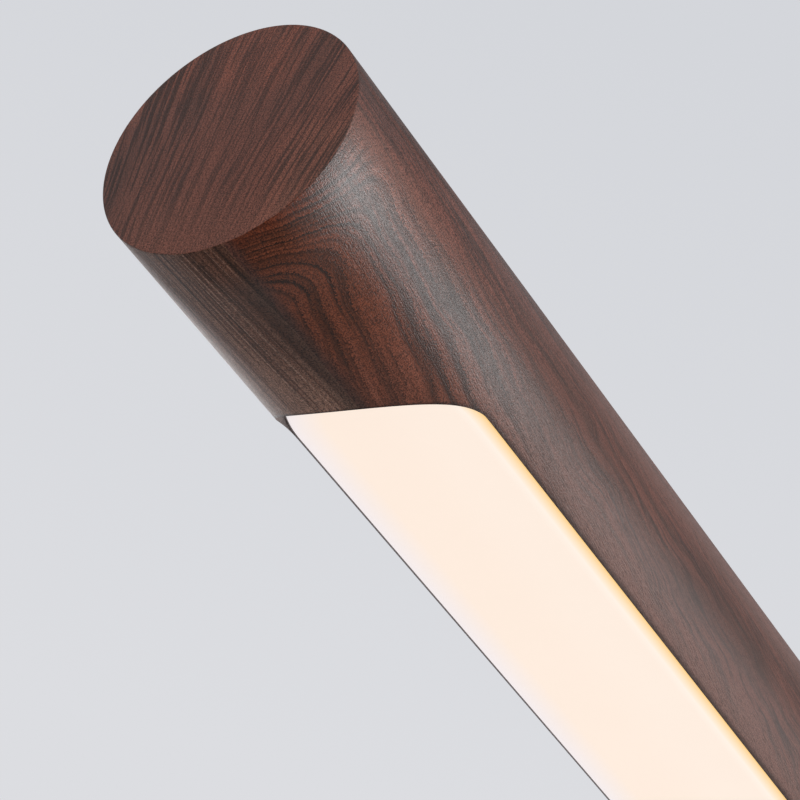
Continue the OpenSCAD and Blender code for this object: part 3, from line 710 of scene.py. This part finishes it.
def light_bar():
    """The wooden bar, with the window in its underside and the bore for the hub in its far end."""
    bm = bmesh.new()
    rows = []
    # Rounded edge of the free end
    for i in range(EDGE_STEPS):
        t = QUARTER_TURN * i / EDGE_STEPS
        x = NEAR_X + BAR_EDGE * (1 - math.cos(t))
        rows.append(row(bm, ring_points(x, BAR_R - BAR_EDGE * (1 - math.sin(t)))))
    # Rings along the bar, open where the window is
    tips = outline(WINDOW_R)
    tips = tips[:len(tips) // 2 + 1]
    start = NEAR_X + BAR_EDGE
    for i in range(MARGIN_STEPS):
        rows.append(row(bm, ring_points(start + (tips[0][0] - start) * i / MARGIN_STEPS, BAR_R)))
    for x, y, _ in tips:
        rows.append(row(bm, ring_points(x, BAR_R, math.asin(min(1.0, -y / BAR_R)))))
    end = FAR_X - BAR_EDGE
    for i in range(1, MARGIN_STEPS + 1):
        rows.append(row(bm, ring_points(tips[-1][0] + (end - tips[-1][0]) * i / MARGIN_STEPS, BAR_R)))
    # Rounded edge of the far end
    for i in range(1, EDGE_STEPS + 1):
        t = QUARTER_TURN * i / EDGE_STEPS
        x = FAR_X - BAR_EDGE * (1 - math.sin(t))
        rows.append(row(bm, ring_points(x, BAR_R - BAR_EDGE * (1 - math.cos(t)))))
    for a, b in zip(rows, rows[1:]):
        strip(bm, a, b)
    bm.faces.new(rows[0][:-1])
    # Far end: ring face and the bore for the hub
    bore = HUB_SPIGOT_R + SEAT
    mouth = row(bm, ring_points(FAR_X, bore))
    bottom = row(bm, ring_points(FAR_X - HUB_SPIGOT_LEN, bore))
    strip(bm, rows[-1], mouth)
    strip(bm, mouth, bottom)
    bm.faces.new(bottom[:-1])
    # Window: wall, thin edge, seat of the panel, ledge and groove
    flat = BAR_Z - FLAT
    seat = flat + PANEL_T
    levels = [outline(WINDOW_R), outline(WINDOW_R, flat), outline(PANEL_R + SEAT, flat),
              outline(PANEL_R + SEAT, seat), outline(GROOVE_R, seat), outline(GROOVE_R, seat + GROOVE_DEPTH)]
    loops = [row(bm, points) for points in levels]
    for a, b in zip(loops, loops[1:]):
        strip(bm, a, b, closed=True)
    bm.faces.new(loops[-1])
    obj = mesh_object("light_bar_wood", bm, bar_wood(), "head")
    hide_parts("light_bar")


def light_panel():
    """The opal panel that fills the window."""
    bm = bmesh.new()
    flat = BAR_Z - FLAT
    levels = [outline(PANEL_R - PANEL_EDGE, flat), outline(PANEL_R, flat + PANEL_EDGE),
              outline(PANEL_R, flat + PANEL_T)]
    loops = [row(bm, points) for points in levels]
    for a, b in zip(loops, loops[1:]):
        strip(bm, a, b, closed=True)
    bm.faces.new(loops[0])
    bm.faces.new(loops[-1])
    obj = mesh_object("light_panel_opal", bm, lit_panel(), "head")
    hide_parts("light_panel")


light_bar()
light_panel()

# Materials for the CAD nodes

ANODISED = dict(dark=(0.090, 0.084, 0.080), light=(0.112, 0.105, 0.100), rough=0.42, metallic=0.9)
MATERIALS = {
    "dark_metal": metal("anodised_dark", **ANODISED),
    "dark_paint": powder_coat(),
    "plate_steel": metal("plate_steel", (0.06, 0.06, 0.062), (0.09, 0.09, 0.095), 0.5, 0.6),
    "iron": metal("cast_iron", (0.07, 0.066, 0.063), (0.12, 0.11, 0.105), 0.62, 0.7,
                  speck=400.0, relief=CAST_RELIEF, wear=0.1),
    "pad": plastic("pad_rubber", (0.014, 0.014, 0.014), (0.026, 0.026, 0.026), 0.8),
    "steel": metal("steel", (0.34, 0.33, 0.32), (0.48, 0.47, 0.46), 0.40, 1.0),
    "button_metal": metal("button_metal", (0.22, 0.215, 0.21), (0.30, 0.293, 0.287), 0.48, 1.0),
    "brass": metal("brass", (0.50, 0.34, 0.13), (0.66, 0.47, 0.20), 0.32, 1.0),
    "nylon": plastic("black_nylon", (0.030, 0.029, 0.028), (0.046, 0.045, 0.043), 0.42),
    "aluminium": metal("mill_aluminium", (0.62, 0.62, 0.63), (0.74, 0.74, 0.75), 0.34, 1.0),
    "board_white": plastic("board_white", (0.74, 0.74, 0.73), (0.84, 0.84, 0.83), 0.45),
    "board_green": plastic("board_green", (0.018, 0.11, 0.045), (0.03, 0.17, 0.07), 0.4),
    "phosphor": plastic("phosphor", (0.70, 0.55, 0.16), (0.85, 0.70, 0.25), 0.35),
    "black_plastic": plastic("black_plastic", (0.016, 0.016, 0.017), (0.028, 0.028, 0.03), 0.5),
    "lead": plastic("lead_insulation", (0.018, 0.017, 0.016), (0.03, 0.028, 0.027), 0.55),
}


def knob_metal():
    """Dark metal with pale paint in the groove on the dimmer's top."""
    low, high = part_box("dimmer_knob")
    middle_x = (low[0] + high[0]) / 2
    middle_y = (low[1] + high[1]) / 2
    groove_low = (low[0] + POINTER_INSET, middle_y - POINTER_HALF, high[2] - POINTER_DEEP)
    groove_high = (middle_x, middle_y + POINTER_HALF, high[2] - POINTER_SHALLOW)
    return metal("dimmer_metal", **ANODISED, pointer=(groove_low, groove_high))


# The two nodes that are replaced have no entry in MATERIALS and stay as they are
for part in frame["record"]["subparts"]:
    name, slot_name = part["node"], part["material_slot"]
    if name in ARM_LEAN:
        made = rod_wood("walnut_" + name, PIVOT[ARM_PIVOT[name]], ARM_LEAN[name])
    elif name == "dimmer_knob":
        made = knob_metal()
    else:
        made = MATERIALS.get(slot_name)
    if made is not None:
        materials = NODES[name].data.materials
        materials.clear()
        materials.append(made)

# Floor, world, lights and camera

BACK = rgb(217, 220, 224)
BACK_LOW = rgb(220, 221, 225)
BACK_HIGH = rgb(212, 214, 219)
BACK_LOW_Z = 0.42
BACK_HIGH_Z = 0.64
WORLD_LIGHT = 0.55

FLOOR_R = 1.0
FLOOR_SIDES = 96
FLOOR_FADE = (0.4, 0.95)
FLOOR_PLACE = (-0.15, 0, -0.0003)
FLOOR_TONES = ((0.79, 0.80, 0.815), (0.815, 0.825, 0.84))

LAMPS = [
    dict(name="key", place=(-3.4, -1.3, 2.0), target=(-0.3, 0, 0.3), width=3.4, height=3.4, power=58),
    dict(name="side", place=(0.56, -1.33, 0.57), target=(NEAR_X, 0, BAR_Z), width=0.50, height=0.9, power=4.7,
         spread=70),
    dict(name="fill", place=(1.0, 3.5, 2.4), target=(-0.2, 0, 0.25), width=3.0, height=3.0, power=40),
]

# Camera: its place from the middle of the bar's free end, in bar radii, and its directions
CAMERA_PLACE = (-12.2171, -12.0114, -12.2087)
CAMERA_FORWARD = (0.659, 0.5343, 0.5293)
CAMERA_RIGHT = (0.474, -0.8415, 0.2594)
FOCAL_PIXELS = 3116.77
PICTURE_PIXELS = 800
SENSOR_MM = 36.0
CLIP_START = 0.01


def floor():
    """Pale disc that fades out into the surround and keeps the object's shadow."""
    net = Net("floor_pale")
    x, y, _ = net.split(net.coords)
    reach = net.math("SQRT", net.plus(net.times(y, y), x, x))
    cloud = net.noise(net.coords, scale=3.0, detail=2, rough=0.5)
    net.shader(Base_Color=net.tones(cloud, *FLOOR_TONES), Roughness=0.9, Specular_IOR_Level=0.0,
               Alpha=net.fade(reach, *FLOOR_FADE))
    bm = bmesh.new()
    bmesh.ops.create_circle(bm, cap_ends=True, radius=FLOOR_R, segments=FLOOR_SIDES)
    mesh = bpy.data.meshes.new("floor")
    bm.to_mesh(mesh)
    bm.free()
    mesh.materials.append(net.mat)
    obj = bpy.data.objects.new("floor", mesh)
    obj.location = FLOOR_PLACE
    bpy.context.scene.collection.objects.link(obj)


def world():
    """Studio surround, a little paler towards the horizon; its light is weaker than it looks itself."""
    w = bpy.data.worlds.new("studio")
    bpy.context.scene.world = w
    w.use_nodes = True
    tree = w.node_tree
    tree.nodes.clear()
    link = tree.links.new
    parts = tree.nodes.new("ShaderNodeSeparateXYZ")
    link(tree.nodes.new("ShaderNodeTexCoord").outputs["Generated"], parts.inputs[0])
    shade = tree.nodes.new("ShaderNodeValToRGB")
    link(parts.outputs["Z"], shade.inputs[0])
    stops = ((BACK_LOW_Z, BACK_LOW), (BACK_HIGH_Z, BACK_HIGH))
    for item, (position, colour) in zip(shade.color_ramp.elements, stops):
        item.position = position
        item.color = rgba(colour)
    seen = tree.nodes.new("ShaderNodeBackground")
    link(shade.outputs[0], seen.inputs["Color"])
    lit = tree.nodes.new("ShaderNodeBackground")
    lit.inputs["Color"].default_value = rgba(BACK)
    lit.inputs["Strength"].default_value = WORLD_LIGHT
    path = tree.nodes.new("ShaderNodeLightPath")
    in_view = path.outputs["Is Camera Ray"]
    for kind in ("Is Glossy Ray", "Is Transmission Ray"):
        add = tree.nodes.new("ShaderNodeMath")
        add.operation = "ADD"
        add.use_clamp = True
        link(in_view, add.inputs[0])
        link(path.outputs[kind], add.inputs[1])
        in_view = add.outputs[0]
    mix = tree.nodes.new("ShaderNodeMixShader")
    link(in_view, mix.inputs[0])
    link(lit.outputs[0], mix.inputs[1])
    link(seen.outputs[0], mix.inputs[2])
    out = tree.nodes.new("ShaderNodeOutputWorld")
    link(mix.outputs[0], out.inputs["Surface"])


def area_light(name, place, target, width, height, power, spread=180):
    """Soft box that faces target; a spread under 180 degrees keeps its light off the floor."""
    data = bpy.data.lights.new(name, "AREA")
    data.spread = math.radians(spread)
    data.shape = "RECTANGLE"
    data.size = width
    data.size_y = height
    data.energy = power
    obj = bpy.data.objects.new(name, data)
    obj.location = place
    obj.rotation_euler = (Vector(target) - Vector(place)).to_track_quat("-Z", "Y").to_euler()
    bpy.context.scene.collection.objects.link(obj)


def camera():
    """The photograph's viewpoint: below the bar's free end, fitted to its outlines."""
    place = Vector((NEAR_X, 0, BAR_Z)) + BAR_R * Vector(CAMERA_PLACE)
    forward = Vector(CAMERA_FORWARD).normalized()
    right = Vector(CAMERA_RIGHT)
    right = (right - forward * right.dot(forward)).normalized()
    up = right.cross(forward)
    data = bpy.data.cameras.new("camera")
    data.sensor_width = SENSOR_MM
    data.lens = FOCAL_PIXELS / PICTURE_PIXELS * SENSOR_MM
    data.clip_start = CLIP_START
    obj = bpy.data.objects.new("camera", data)
    turn = Matrix((right, up, -forward)).transposed().to_4x4()
    obj.matrix_world = Matrix.Translation(place) @ turn
    bpy.context.scene.collection.objects.link(obj)
    bpy.context.scene.camera = obj


floor()
world()
for lamp in LAMPS:
    area_light(**lamp)
camera()

bpy.context.scene.view_settings.view_transform = "Standard"
